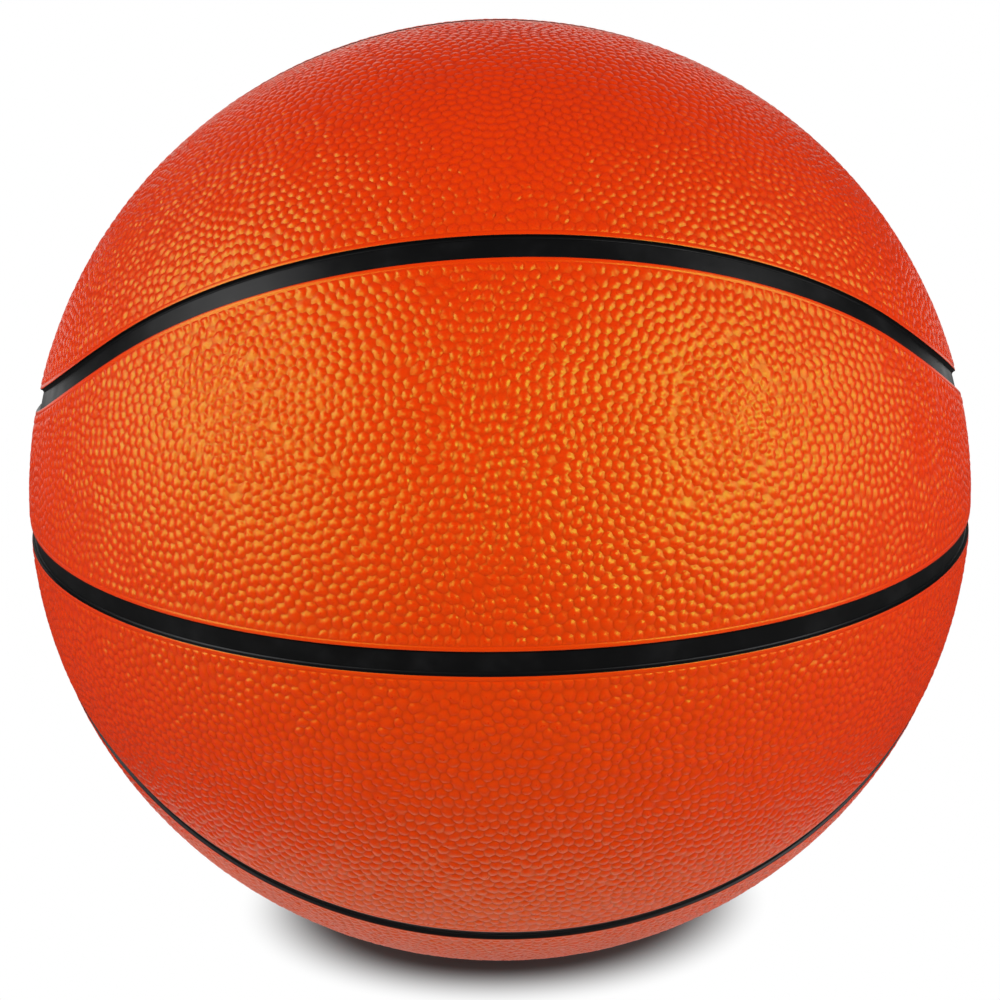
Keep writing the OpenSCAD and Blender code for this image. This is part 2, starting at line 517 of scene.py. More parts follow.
def insets_of(points, loops):
    """Distance of each point from the nearest loop, positive inside the panel"""
    edge = np.vstack([loop.points for loop in loops])
    into = np.vstack([loop.into for loop in loops])
    tree = tree_of(edge)
    found = [tree.find(point) for point in points]
    nearest = np.array([index for _, index, _ in found])
    gap = np.array([distance for _, _, distance in found])
    inside = np.einsum("ij,ij->i", points - edge[nearest], into[nearest])
    return np.copysign(gap, inside)


def rosette_middles(rng, spacing):
    """Middles of the rosettes, spread over the whole ball and then scattered a little"""
    count = round(4 * math.pi * (BALL_R / spacing) ** 2 / math.cos(math.radians(30)))
    index = np.arange(count)
    height = 1 - (2 * index + 1) / count
    turn = index * math.pi * (3 - math.sqrt(5))
    across = np.sqrt(1 - height**2)
    spread = np.column_stack([across * np.cos(turn), across * np.sin(turn), height])
    scatter = ROSETTE_SCATTER_SHARE * spacing / BALL_R
    return unit(spread + rng.normal(0.0, scatter, spread.shape)) * BALL_R


def rosette_rows(rng, middle, pebbles):
    """Pebbles in rings round one middle, with each one's row and how far it runs into the next"""
    outward = unit(middle)
    side = unit(np.cross(outward, rng.normal(size=3)))
    other = np.cross(outward, side)
    points, rows, ridges = [middle[None]], [np.zeros(1)], [np.zeros(1)]
    lean = rng.uniform(0.0, math.pi)
    for row in range(1, round(ROSETTE_REACH_SHARE * pebbles.rosette / pebbles.pitch)):
        angle = row * pebbles.pitch / BALL_R
        count = round(2 * math.pi * math.sin(angle) * BALL_R / (RING_STEP_SHARE * pebbles.pitch))
        turn = rng.uniform(0.0, 2 * math.pi) + np.arange(count) * 2 * math.pi / count
        rim = np.cos(turn)[:, None] * side + np.sin(turn)[:, None] * other
        points.append((outward * math.cos(angle) + rim * math.sin(angle)) * BALL_R)
        rows.append(np.full(count, row))
        swing = (1 - RIDGE_MEAN) * np.cos(2 * (turn - lean))
        ridges.append(np.clip(RIDGE_MEAN + swing, 0.0, 1.0))
    return np.vstack(points), np.concatenate(rows), np.concatenate(ridges)


def lattice(rng, loops, pebbles, clear):
    """Pebbles of all rosettes in a panel, at least clear from its edge"""
    middles = rosette_middles(rng, pebbles.rosette)
    middles = middles[insets_of(middles, loops) > -pebbles.rosette]
    points, rows, ridges, owners = [], [], [], []
    for number, middle in enumerate(middles):
        made, row, ridge = rosette_rows(rng, middle, pebbles)
        own = np.argmax(made @ middles.T, axis=1) == number
        points.append(made[own])
        rows.append(row[own] + ROWS_OF_ROSETTE * (number + 1))
        ridges.append(ridge[own])
        owners.append(row[own])
    points = np.vstack(points)
    kept = insets_of(points, loops) > clear
    order = np.argsort(np.concatenate(owners)[kept], kind="stable")
    return points[kept][order], np.concatenate(rows)[kept][order], np.concatenate(ridges)[kept][order]


def thinned(points, least):
    """Which points stay when a later one that lies closer than least to an earlier one goes"""
    tree = tree_of(points)
    stays = np.ones(len(points), bool)
    for index, point in enumerate(points):
        if stays[index]:
            for _, other, _ in tree.find_range(point, least):
                if other > index:
                    stays[other] = False
    return stays


def settled(points, fixed, chart, pitch, rounds):
    """The points, pushed apart on the ball where they crowd; the first fixed ones stay"""
    for _ in range(rounds):
        pairs, _ = pairs_of(chart.triangles(points))
        way = points[pairs[:, 1]] - points[pairs[:, 0]]
        gap = np.linalg.norm(way, axis=1, keepdims=True)
        push = way / gap * np.clip(PUSHED_SHARE * pitch - gap, 0.0, None) / 2
        move = np.zeros_like(points)
        np.add.at(move, pairs[:, 1], push)
        np.subtract.at(move, pairs[:, 0], push)
        move[:fixed] = 0.0
        points = unit(points + move) * BALL_R
    return points


def open_middles(points, chart, loops, pitch, clear):
    """Middles of the places in a panel that are wide enough for one more pebble"""
    triangles = chart.triangles(points)
    middles = unit(points[triangles].mean(axis=1)) * BALL_R
    gap = np.linalg.norm(points[triangles] - middles[:, None], axis=2).min(axis=1)
    middles = middles[gap > GAP_SHARE * pitch]
    middles = middles[insets_of(middles, loops) > clear]
    return middles[thinned(middles, FILLED_SHARE * pitch)]


def lay_pebbles(rng, loops, chart, pebbles):
    """The pebbles of a panel, one row along every edge and then the rosettes, with rows and ridges"""
    pitch = pebbles.pitch
    row_inset = pebbles.lip_w + pebbles.first_row
    first = np.vstack([evenly(loop.ring(row_inset, 0.0), pitch) for loop in loops])
    clear = row_inset + CLEAR_SHARE * pitch
    inner, rows, ridges = lattice(rng, loops, pebbles, clear)
    points = np.vstack([first, inner])
    rows = np.concatenate([np.zeros(len(first)), rows])
    ridges = np.concatenate([np.full(len(first), RIDGE_AT_EDGE), ridges])
    stays = thinned(points, CROWDED_SHARE * pitch)
    stays[:len(first)] = True
    points = settled(points[stays], len(first), chart, pitch, FIRST_ROUNDS)
    extra = open_middles(points, chart, loops, pitch, clear)
    points = settled(np.vstack([points, extra]), len(first), chart, pitch, LAST_ROUNDS)
    rows = np.concatenate([rows[stays], -1 - np.arange(len(extra))])
    ridges = np.concatenate([ridges[stays], np.zeros(len(extra))])
    return points, rows, ridges


# Meshes

# Room that each ring of a panel's edge gets on its texture map
MAP_STEP = 0.00025

# Margin round the front and the back on a panel's map, and the share of its height for the back
MAP_MARGIN = 0.01
BACK_SHARE = 0.2

# How sharp the grooves look between the pebbles: 0 is round and 1 is a plain crease
CREASE = 0.45

# The fillet at the foot of a channel's wall: its points as shares of its width, and its height as a
# share of the wall's
FILLET_SHARES = (0.0, 0.3, 0.6, 0.85)
FILLET_RISE_SHARE = 0.5

# The lip from the channel inwards: each ring's place as a share of the lip's width, its drop as a share
# of the wall's, whether it has the colour of a lip, and how black it is
LIP_SHARES = (
    (0.0, 0.42, 0, 1.0),
    (0.03, 0.20, 0, 1.0),
    (0.09, 0.09, 1, 0.8),
    (0.20, 0.03, 1, 0.0),
    (0.45, 0.0, 1, 0.0),
    (0.75, 0.02, 1, 0.0),
    (1.00, 0.05, 1, 0.0),
)

# Levels in the grain as shares of a pebble's height: how much lower a top may be, the groove between two
# rows, the groove within a row with what a ridge adds to it, and the grooves along the lip
LOW_TOP_SHARE = 0.16
GROOVE_SHARE = 0.08
ROW_GROOVE_SHARE = 0.12
RIDGE_RISE_SHARE = 0.52
LIP_GROOVE_SHARE = 0.4
LIP_CORNER_SHARE = 0.3

# Grooves lower than this share are creased
CREASED_SHARE = 0.5

# How much closer a groove along the lip lies to the lip than to the pebble
LIP_PULL = 5.0

# A dome: its widest half as a share of the pitch, its ring of points as a share of its own half and at
# most of the way to the groove, and the power of its profile
DOME_SHARE = 0.56
DOME_RING_SHARE = 0.72
GROOVE_WAY_SHARE = 0.76
DOME_POWER = 3.6

# Step of the points of a panel's plain back, and how far they stay off its edge, as shares of the pitch
BACK_STEP_SHARE = 3.2
BACK_CLEAR_SHARE = 2.0


class Surface:
    """Vertices, triangles and marks of one closed piece, collected part by part"""

    def __init__(self):
        self.points = []
        self.places = []
        self.domes = []
        self.paints = []
        self.creases = []
        self.outer = []
        self.inner = []
        self.count = 0

    def add(self, points, dome, paint=0.0, places=None, crease=False):
        """Adds points: how high they stand on a pebble, how black they are, their places on the map,
        and whether the lines between them are sharp"""
        first = self.count
        self.count += len(points)
        self.points.append(points)
        self.places.append(points if places is None else places)
        self.domes.append(np.broadcast_to(dome, len(points)))
        self.paints.append(np.broadcast_to(paint, len(points)))
        self.creases.append(np.broadcast_to(crease, len(points)))
        return np.arange(first, self.count)

    def triangles(self, a, b, c):
        """Adds triangles to the outside, from the numbers of their first, second and third corners"""
        self.outer.append(np.column_stack([a, b, c]))

    def quads(self, a, b, c, d):
        """Adds quads to the outside, as two triangles each"""
        self.triangles(a, b, c)
        self.triangles(a, c, d)

    def band(self, below, above):
        """Joins two rings of equal length, of which the second lies on the left of the first"""
        self.quads(below, np.roll(below, -1), np.roll(above, -1), above)

    def texture_map(self, faces, inner_count):
        """A map that keeps areas: X across and the turn about X upwards, with the back at the bottom"""
        towards = unit(np.vstack(self.places))
        across = 0.5 + (0.5 - MAP_MARGIN) * towards[:, 0]
        turn = np.arctan2(towards[:, 2], towards[:, 1])
        rise = (turn - turn.min()) / np.ptp(turn)
        is_inner = np.arange(len(faces)) >= len(faces) - inner_count
        front = BACK_SHARE + 3 * MAP_MARGIN
        height = np.where(
            is_inner[:, None], MAP_MARGIN + BACK_SHARE * rise[faces],
            front + (1 - front - MAP_MARGIN) * rise[faces])
        return np.stack([across[faces], height], axis=-1)

    def mesh(self, name, signs):
        """A mesh on the side of the ball that the signs of Y and Z give"""
        faces = np.vstack(self.outer + self.inner)
        if signs[0] * signs[1] < 0:
            faces = faces[:, ::-1]
        places = self.texture_map(faces, len(np.vstack(self.inner)))
        used, faces = np.unique(faces, return_inverse=True)
        faces = faces.reshape(-1, 3)
        points = np.vstack(self.points)[used] * np.array((1, *signs))
        mesh = bpy.data.meshes.new(name)
        mesh.vertices.add(len(points))
        mesh.vertices.foreach_set("co", points.ravel())
        mesh.loops.add(faces.size)
        mesh.loops.foreach_set("vertex_index", np.ascontiguousarray(faces).ravel())
        mesh.polygons.add(len(faces))
        mesh.polygons.foreach_set("loop_start", np.arange(0, faces.size, 3))
        mesh.update(calc_edges=True)
        mesh.shade_smooth()
        self.soften(mesh, np.concatenate(self.creases)[used], faces)
        for mark, values in (("dome", self.domes), ("paint", self.paints)):
            layer = mesh.attributes.new(mark, "FLOAT", "POINT")
            layer.data.foreach_set("value", np.concatenate(values)[used].astype(np.float32))
        mesh.uv_layers.new(name="OFBake").data.foreach_set("uv", places.ravel())
        return mesh

    def soften(self, mesh, creased, faces):
        """Keeps part of the walls' own slope at the bottom of the grooves, where creased points meet"""
        ends = np.empty(2 * len(mesh.edges), np.int32)
        mesh.edges.foreach_get("vertices", ends)
        sharp = creased[ends.reshape(-1, 2)].all(axis=1)
        mesh.attributes.new("sharp_edge", "BOOLEAN", "EDGE").data.foreach_set("value", sharp)
        parted = np.empty(3 * faces.size, np.float32)
        mesh.corner_normals.foreach_get("vector", parted)
        joined = np.empty(3 * len(mesh.vertices), np.float32)
        mesh.vertex_normals.foreach_get("vector", joined)
        joined = joined.reshape(-1, 3)[faces.ravel()]
        mixed = CREASE * parted.reshape(-1, 3) + (1 - CREASE) * joined
        mesh.normals_split_custom_set(unit(mixed))


def edge_profile(sizes, pebbles, flare):
    """Inset, drop, dome and paint of each ring of a panel's edge, from the inside to the lip"""
    floor = sizes.cover_t - sizes.strip_t
    foot = floor - sizes.bond_t / 3
    lip = pebbles.lip_drop
    flat = 1 - lip / pebbles.height
    wall = floor - lip
    profile = [(0.0, sizes.cover_t, 0.0, 1.0)]
    if flare:
        for share in FILLET_SHARES:
            rise = share**2 * FILLET_RISE_SHARE * wall
            profile.append((pebbles.fillet_w * (share - 1), foot - rise, 0.0, 1.0))
    for place, drop, is_lip, paint in LIP_SHARES:
        profile.append((place * pebbles.lip_w, lip + drop * wall, flat * is_lip, paint))
    return profile


class Skin:
    """The outside of a panel: a dome over each pebble's middle, with grooves between the domes.

    Its nodes are the pebbles' middles and every second point of the lip's last rings.
    Every triangle between neighbouring nodes is cut from its middle to its corners and sides.
    The cuts lie in the grooves, and each pebble gets one more ring of points up its dome.
    """

    def __init__(self, surface, rng, chart, pebbles, layout, borders):
        self.surface = surface
        self.centres, self.rows, self.ridges = layout
        self.borders = borders
        self.height = pebbles.height
        self.pitch = pebbles.pitch
        self.lip_level = pebbles.height - pebbles.lip_drop
        self.top = self.height * (1 - LOW_TOP_SHARE * rng.random(len(self.centres)))
        rings = [unit(np.vstack(surface.points)[border[::2]]) * BALL_R for border in borders]
        self.nodes = np.vstack([self.centres, *rings])
        self.runs = runs_after(len(self.centres), rings)
        self.triangles = chart.inside(self.nodes, self.runs)
        self.pairs, self.pair_of = pairs_of(self.triangles)
        self.is_pebble = np.arange(len(self.nodes)) < len(self.centres)
        self.both = self.is_pebble[self.pairs].all(axis=1)
        self.dome_r = self.dome_radii()

    def dome_radii(self):
        """Half the distance from each pebble to its neighbours, as a mean with a limit"""
        ends = self.pairs[self.both]
        half = np.linalg.norm(self.nodes[ends[:, 0]] - self.nodes[ends[:, 1]], axis=1) / 2
        total = np.zeros(len(self.nodes))
        count = np.zeros(len(self.nodes))
        for end in (0, 1):
            np.add.at(total, ends[:, end], np.minimum(half, DOME_SHARE * self.pitch))
            np.add.at(count, ends[:, end], 1.0)
        return np.where(count > 0, total / np.maximum(count, 1.0), self.pitch / 2)

    def between(self, groups):
        """The direction of the groove between each group of nodes"""
        weight = np.where(self.is_pebble, 1.0, LIP_PULL)[groups]
        return unit((self.nodes[groups] * weight[:, :, None]).sum(axis=1))

    def saddle_levels(self):
        """Levels in the grooves between two nodes: higher where the pebbles of a row run together"""
        inner = np.where(self.both[:, None], self.pairs, 0)
        same_row = self.rows[inner[:, 0]] == self.rows[inner[:, 1]]
        in_row = ROW_GROOVE_SHARE + RIDGE_RISE_SHARE * self.ridges[inner].mean(axis=1)
        groove = np.where(same_row, in_row, GROOVE_SHARE) * self.height
        neither = ~self.is_pebble[self.pairs].any(axis=1)
        return np.select([self.both, neither], [groove, self.lip_level], LIP_GROOVE_SHARE * self.height)

    def corner_levels(self):
        """Levels in the grooves where three nodes meet, which is nought between three pebbles"""
        count = self.is_pebble[self.triangles].sum(axis=1)
        by_lip = LIP_CORNER_SHARE * self.height
        return np.select([count == 3, count > 0], [0.0, by_lip], self.lip_level)

    def add(self, directions, level, crease=False):
        """Adds points in the directions from the ball's middle, at a level over the deepest groove"""
        radius = BALL_R - self.height + level
        return self.surface.add(directions * radius[:, None], level / self.height, crease=crease)

    def add_ring(self, owner, target, target_level):
        """Adds points on the domes of the owners, on the way to the targets"""
        middle = unit(self.nodes[owner])
        reach = np.linalg.norm(target - middle, axis=1) * BALL_R
        step = np.minimum(DOME_RING_SHARE * self.dome_r[owner], GROOVE_WAY_SHARE * reach)
        share = (step / reach)[:, None]
        rise = (self.top[owner] - target_level) * (1 - share[:, 0] ** DOME_POWER)
        return self.add(unit(middle * (1 - share) + target * share), target_level + rise)

    def join_borders(self):
        """Puts the odd points of the lip's rings in the place of the saddles between the even ones"""
        number = {(a, b): index for index, (a, b) in enumerate(self.pairs.tolist())}
        for run, border in zip(self.runs, self.borders):
            for a, b, odd in zip(run, np.roll(run, -1), border[1::2]):
                self.saddle_index[number[(min(a, b), max(a, b))]] = odd

    def make(self):
        """Adds the points of the grooves and the domes, and the faces between them"""
        saddles, saddle_level = self.between(self.pairs), self.saddle_levels()
        corners, corner_level = self.between(self.triangles), self.corner_levels()
        creased = saddle_level < CREASED_SHARE * self.height
        self.saddle_index = self.add(saddles, saddle_level, creased)
        corner_index = self.add(corners, corner_level, corner_level == 0.0)
        top_index = self.add(unit(self.centres), self.top)
        self.node_index = np.concatenate([top_index, *[border[::2] for border in self.borders]])
        self.join_borders()
        self.saddle_ring = np.full(self.pairs.shape, -1)
        for end in (0, 1):
            has_dome = self.is_pebble[self.pairs[:, end]]
            self.saddle_ring[has_dome, end] = self.add_ring(
                self.pairs[has_dome, end], saddles[has_dome], saddle_level[has_dome])
        for corner in range(3):
            owner = self.triangles[:, corner]
            after = self.pair_of[:, corner]
            before = self.pair_of[:, corner - 1]
            dome = self.is_pebble[owner]
            self.lip_faces(owner[~dome], after[~dome], before[~dome], corner_index[~dome])
            ring_mid = self.add_ring(owner[dome], corners[dome], corner_level[dome])
            self.dome_faces(owner[dome], after[dome], before[dome], corner_index[dome], ring_mid)

    def lip_faces(self, owner, after, before, mid):
        """Faces from points of the lip to the grooves beside them"""
        self.surface.triangles(self.node_index[owner], self.saddle_index[after], mid)
        self.surface.triangles(self.node_index[owner], mid, self.saddle_index[before])

    def dome_faces(self, owner, after, before, mid, ring_mid):
        """Faces from the tops of the pebbles over their rings to the grooves"""
        ring_after = self.saddle_ring[after, np.where(self.pairs[after, 0] == owner, 0, 1)]
        ring_before = self.saddle_ring[before, np.where(self.pairs[before, 0] == owner, 0, 1)]
        self.surface.triangles(self.node_index[owner], ring_after, ring_mid)
        self.surface.triangles(self.node_index[owner], ring_mid, ring_before)
        self.surface.quads(ring_after, self.saddle_index[after], mid, ring_mid)
        self.surface.quads(ring_mid, mid, self.saddle_index[before], ring_before)


def panel_rims(surface, loops, sizes, pebbles):
    """The walls and lips along a panel's loops: the first ring and the last ring of each"""
    backs, borders = [], []
    for number, loop in enumerate(loops):
        profile = edge_profile(sizes, pebbles, flare=number == 0)
        map_insets = pebbles.lip_w - MAP_STEP * np.arange(len(profile))[::-1]
        rings = []
        for (inset, drop, dome, paint), map_inset in zip(profile, map_insets):
            rings.append(surface.add(loop.ring(inset, drop), dome, paint, loop.ring(map_inset, 0.0)))
        for below, above in zip(rings, rings[1:]):
            surface.band(below, above)
        backs.append(rings[0])
        borders.append(rings[-1])
    return backs, borders


def plain_back(surface, loops, chart, centres, backs, sizes, pebbles):
    """The plain inside of a panel, on a few of the pebbles' places"""
    inside = centres[thinned(centres, BACK_STEP_SHARE * pebbles.pitch)]
    inside = inside[insets_of(inside, loops) > BACK_CLEAR_SHARE * pebbles.pitch]
    inside_index = surface.add(unit(inside) * (BALL_R - sizes.cover_t), 0.0, 1.0)
    every = np.concatenate([inside_index, *backs])
    triangles = chart.inside(np.vstack(surface.points)[every], runs_after(len(inside), backs))
    surface.inner.append(every[triangles][:, ::-1])


def panel_piece(name, signs, edges, context):
    """One cover panel: walls and lips, pebbles outside and a plain inside"""
    sizes = context.scene.ball_sizes
    pebbles = context.scene.pebble_sizes
    rng = np.random.default_rng([pebbles.seed, *name.encode()])
    step = pebbles.pitch / 4
    loops = [Loop(rounded_loop(edges, sizes.corner_r), step)]
    if name == VALVE_PANEL:
        loops.append(circle_loop(VALVE_AXIS, sizes.neck_hole_d / 2, step))
    chart = Chart(unit(loops[0].outward.mean(axis=0)))
    surface = Surface()
    backs, borders = panel_rims(surface, loops, sizes, pebbles)
    layout = lay_pebbles(rng, loops, chart, pebbles)
    Skin(surface, rng, chart, pebbles, layout, borders).make()
    plain_back(surface, loops, chart, layout[0], backs, sizes, pebbles)
    return surface.mesh(name, signs)


def make_panels(context, panels, edges):
    """Pebbled panels with the same edges, each on its side of the ball in the place of its CAD node"""
    material = cover_rubber(context.scene.rubber_colours)
    for node, signs in panels.items():
        mesh = panel_piece(node, signs, edges, context)
        mesh.materials.append(material)
        piece = bpy.data.objects.new(node + "_pebbled", mesh)
        context.scene.collection.objects.link(piece)
        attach(piece, BODY)
        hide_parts(node)


# Materials

# Levels of what the rubbers reflect, and the roughness that the wear and the noise vary
PLAIN_GLOSS = 0.5
COVER_GLOSS = 0.8
BLACK_GLOSS = 0.2
COVER_ROUGH = 0.36
BLACK_ROUGH = 0.34
THREAD_ROUGH = 0.6

# How high on its dome a pebble has the colour of its top; below that the cover darkens towards the grooves,
# which is painted shade
GROOVE_SHADE_HEIGHT = 0.75

# Where the black paint on a channel's wall ends, in the mark that the mesh carries
PAINT_EDGE = (0.45, 0.6)

# Dull, slightly paler spots in the channels
BLACK_SPOTS = (0.008, 0.008, 0.0085)

# Directions across the threads of each layer, waves of thread in radians to the metre, and how dark the
# painted shade between the threads is
THREAD_LAYERS = ((1, 0.2, 0.1), (-0.3, 1, 0.4), (0.2, -0.5, 1), (0.8, 0.7, -0.6), (-0.7, 0.6, 0.8))
THREAD_WAVES = 5200.0
THREAD_PAINTED_SHADE = 0.45


class Value:
    """A number that varies over a surface; Python arithmetic on it adds Math nodes"""

    def __init__(self, finish, socket):
        self.finish = finish
        self.socket = socket

    def math(self, operation, *numbers):
        """A Math node's result"""
        inputs = dict(enumerate(numbers))
        return self.finish.node("ShaderNodeMath", {"operation": operation}, inputs)

    def __add__(self, other):
        return self.math("ADD", self, other)

    def __sub__(self, other):
        return self.math("SUBTRACT", self, other)

    def __rsub__(self, other):
        return self.math("SUBTRACT", other, self)

    def __mul__(self, other):
        return self.math("MULTIPLY", self, other)

    def most(self, other):
        """The larger of the two"""
        return self.math("MAXIMUM", self, other)

    def swing(self, amount):
        """A noise from 0 to 1 as a change by up to half the amount either way"""
        return (self - 0.5) * amount

    def above(self, low, high):
        """0 below low, 1 above high and a smooth step between"""
        settings = {"interpolation_type": "SMOOTHSTEP"}
        inputs = {"Value": self, "From Min": low, "From Max": high}
        return self.finish.node("ShaderNodeMapRange", settings, inputs)

    __radd__ = __add__
    __rmul__ = __mul__


class Finish:
    """The nodes of a material or of the world"""

    def __init__(self, owner):
        self.owner = owner
        self.owner.use_nodes = True
        self.tree = owner.node_tree
        self.tree.nodes.clear()

    def feed(self, socket, value):
        """Links a value to a socket, or sets the socket to a constant"""
        if isinstance(value, Value):
            self.tree.links.new(value.socket, socket)
        elif socket.type == "RGBA":
            socket.default_value = (*value[:3], 1.0)
        else:
            socket.default_value = value

    def node(self, kind, settings, inputs, output=0):
        """A node of any kind, with its settings and sockets, as the value of one output"""
        made = self.tree.nodes.new(kind)
        for name, setting in settings.items():
            setattr(made, name, setting)
        for name, value in inputs.items():
            self.feed(made.inputs[name], value)
        if made.outputs:
            return Value(self, made.outputs[output])
        return None

    def place(self):
        """The place in the object's own coordinates"""
        return self.node("ShaderNodeTexCoord", {}, {}, "Object")

    def length(self, vector):
        """The length of a vector"""
        return self.node("ShaderNodeVectorMath", {"operation": "LENGTH"}, {0: vector}, "Value")

    def mark(self, name):
        """A mark that the mesh carries at its points"""
        return self.node("ShaderNodeAttribute", {"attribute_name": name}, {}, "Fac")

    def noise(self, scale, detail=3.0, roughness=0.5):
        """Noise from 0 to 1, of about scale patches to the metre"""
        inputs = {"Vector": self.place(), "Scale": scale, "Detail": detail, "Roughness": roughness}
        return self.node("ShaderNodeTexNoise", {}, inputs)

    def blend(self, share, first, second):
        """A colour between two, by the share of the second"""
        return self.node("ShaderNodeMix", {"data_type": "RGBA"}, {0: share, 6: first, 7: second}, 2)

    def bumps(self, height, distance, strength):
        """Fine bumps up to a distance in metres"""
        inputs = {"Height": height, "Distance": distance, "Strength": strength}
        return self.node("ShaderNodeBump", {}, inputs)

    def rubber(self, colour, roughness, normal, sheen=WHITE, gloss=PLAIN_GLOSS):
        """A Principled shader, with a tint and a level for what it reflects"""
        inputs = {
            "Base Color": colour, "Roughness": roughness, "Normal": normal,
            "Specular Tint": sheen, "Specular IOR Level": gloss}
        return self.node("ShaderNodeBsdfPrincipled", {}, inputs)

    def ends(self, shader):
        """The finished material or world, with the shader as its surface"""
        kind = "World" if isinstance(self.owner, bpy.types.World) else "Material"
        self.node("ShaderNodeOutput" + kind, {}, {"Surface": shader})
        return self.owner

    def rays(self):
        """1 for rays from the camera, and 1 for mirrored and refracted rays"""
        rays = "Is Camera Ray", "Is Glossy Ray", "Is Transmission Ray"
        camera, mirrored, refracted = [self.node("ShaderNodeLightPath", {}, {}, ray) for ray in rays]
        return camera, mirrored.most(refracted)


def cover_rubber(colours):
    """Semi-gloss orange rubber with painted shade in the grooves, where it is darker and redder, and black
    where the channel's walls are painted
    """
    finish = Finish(bpy.data.materials.new("cover_rubber"))
    dome = finish.mark("dome")
    cloud = finish.noise(scale=22.0, detail=2.0)
    speck = finish.noise(scale=700.0)
    # The dome mark darkens the colour towards the grooves as painted shade; the cloud and the speck vary
    # the tone at random
    tint = dome.above(low=0.0, high=GROOVE_SHADE_HEIGHT) + cloud.swing(0.25) + speck.swing(0.2)
    orange = finish.blend(tint, colours.groove, colours.orange)
    rough = COVER_ROUGH - dome * 0.08 + speck.swing(0.1)
    bumps = finish.bumps(finish.noise(scale=2600.0, detail=2.0), distance=0.00002, strength=0.5)
    cover = finish.rubber(orange, rough, bumps, colours.sheen, COVER_GLOSS)
    wobble = finish.noise(scale=160.0, detail=2.0).swing(0.5)
    paint = (finish.mark("paint") + wobble).above(*PAINT_EDGE)
    black = finish.rubber(colours.black, BLACK_ROUGH, bumps, gloss=BLACK_GLOSS)
    return finish.ends(finish.node("ShaderNodeMixShader", {}, {0: paint, 1: cover, 2: black}))


def channel_rubber(colours):
    """Smooth black rubber with faint brush marks and dull spots"""
    finish = Finish(bpy.data.materials.new("channel_rubber"))
    cloud = finish.noise(scale=90.0, detail=4.0, roughness=0.6)
    colour = finish.blend(cloud.above(low=0.45, high=0.8), colours.black, BLACK_SPOTS)
    bumps = finish.bumps(finish.noise(scale=1500.0), distance=0.00003, strength=0.4)
    rough = BLACK_ROUGH + cloud.swing(0.3)
    return finish.ends(finish.rubber(colour, rough, bumps, gloss=BLACK_GLOSS))


def moulded_rubber(name, colours, colour, rough):
    """Dark moulded rubber with a thin, uneven film of moulding dust"""
    finish = Finish(bpy.data.materials.new(name))
    dust = finish.noise(scale=60.0, detail=5.0, roughness=0.65).above(low=0.5, high=0.85)
    mixed = finish.blend(dust * 0.25, colour, colours.dust)
    bumps = finish.bumps(finish.noise(scale=1200.0), distance=0.00004, strength=0.6)
    return finish.ends(finish.rubber(mixed, rough + dust * 0.2, bumps))


def thread_winding(colours):
    """Nylon thread wound round the ball in many directions, with painted shade between the threads"""
    finish = Finish(bpy.data.materials.new("thread_winding"))
    place = finish.place()
    waves = []
    for layer in THREAD_LAYERS:
        across = Vector(layer).normalized()
        along = finish.node(
            "ShaderNodeVectorMath", {"operation": "DOT_PRODUCT"}, {0: place, 1: across}, "Value")
        waves.append(along.math("SINE", along * THREAD_WAVES))
    threads = functools.reduce(Value.most, waves)
    # Painted shade darkens the thread's colour between the threads
    dark = [part * THREAD_PAINTED_SHADE for part in colours.thread]
    colour = finish.blend(threads.above(low=-0.2, high=0.9), dark, colours.thread)
    return finish.ends(finish.rubber(
        colour, THREAD_ROUGH, finish.bumps(threads, distance=0.00012, strength=0.8)))


def pale_floor(studio):
    """Pale floor with painted shade over the real shadow under the ball in view, and darker further off
    where rubber mirrors it
    """
    finish = Finish(bpy.data.materials.new("pale_floor"))
    place = finish.place()
    away = finish.length(place)
    oval = finish.node(
        "ShaderNodeVectorMath", {"operation": "MULTIPLY"}, {0: place, 1: (studio.spread, 1.0, 1.0)})
    depth = finish.node("ShaderNodeSeparateXYZ", {}, {"Vector": place}, "Y")
    camera, mirrored = finish.rays()
    image = finish.blend(away.above(*studio.mirrored_edge), studio.mirrored_near, studio.mirrored_far)
    # In view, the painted shade colour darkens the floor round the ball on top of its real shadow
    colour = finish.blend(camera, finish.blend(mirrored, studio.floor, image), studio.painted_shade)
    near = finish.node("ShaderNodeBsdfDiffuse", {}, {"Color": colour})
    white = finish.node("ShaderNodeEmission", {}, {"Color": WHITE, "Strength": 1.0})
    behind = mirrored * depth.above(*WHITE_FLOOR)
    # The painted shadow fades to white in view over an oval round the ball
    far = (camera * finish.length(oval).above(*studio.shadow)).most(behind)
    return finish.ends(finish.node("ShaderNodeMixShader", {}, {0: far, 1: near, 2: white}))


def room_light(studio):
    """Even light from all sides, white in view and right behind the ball, dim where rubber mirrors it"""
    finish = Finish(bpy.data.worlds.new("studio_room"))
    direction = finish.node("ShaderNodeTexCoord", {}, {}, "Generated")
    depth = finish.node("ShaderNodeSeparateXYZ", {}, {"Vector": direction}, "Y")
    camera, mirrored = finish.rays()
    seen = camera.most(mirrored * depth.above(*WHITE_ROOM))
    level = studio.room - mirrored * (studio.room - studio.mirrored_room)
    strength = seen * (1 - level) + level
    return finish.ends(finish.node("ShaderNodeBackground", {}, {"Color": WHITE, "Strength": strength}))


def give(name, material):
    """Gives a CAD node one material"""
    node = frame["nodes"][name]
    node.data.materials.clear()
    node.data.materials.append(material)


# Operators

class MakeSidePanels(bpy.types.Operator):
    """Make the four pebbled side panels between the level seam and the curved seams"""

    bl_idname = "basketball.side_panels"
    bl_label = "Side panels"

    def execute(self, context):
        make_panels(context, SIDE_PANELS, side_panel_edges(context.scene.ball_sizes))
        return {"FINISHED"}


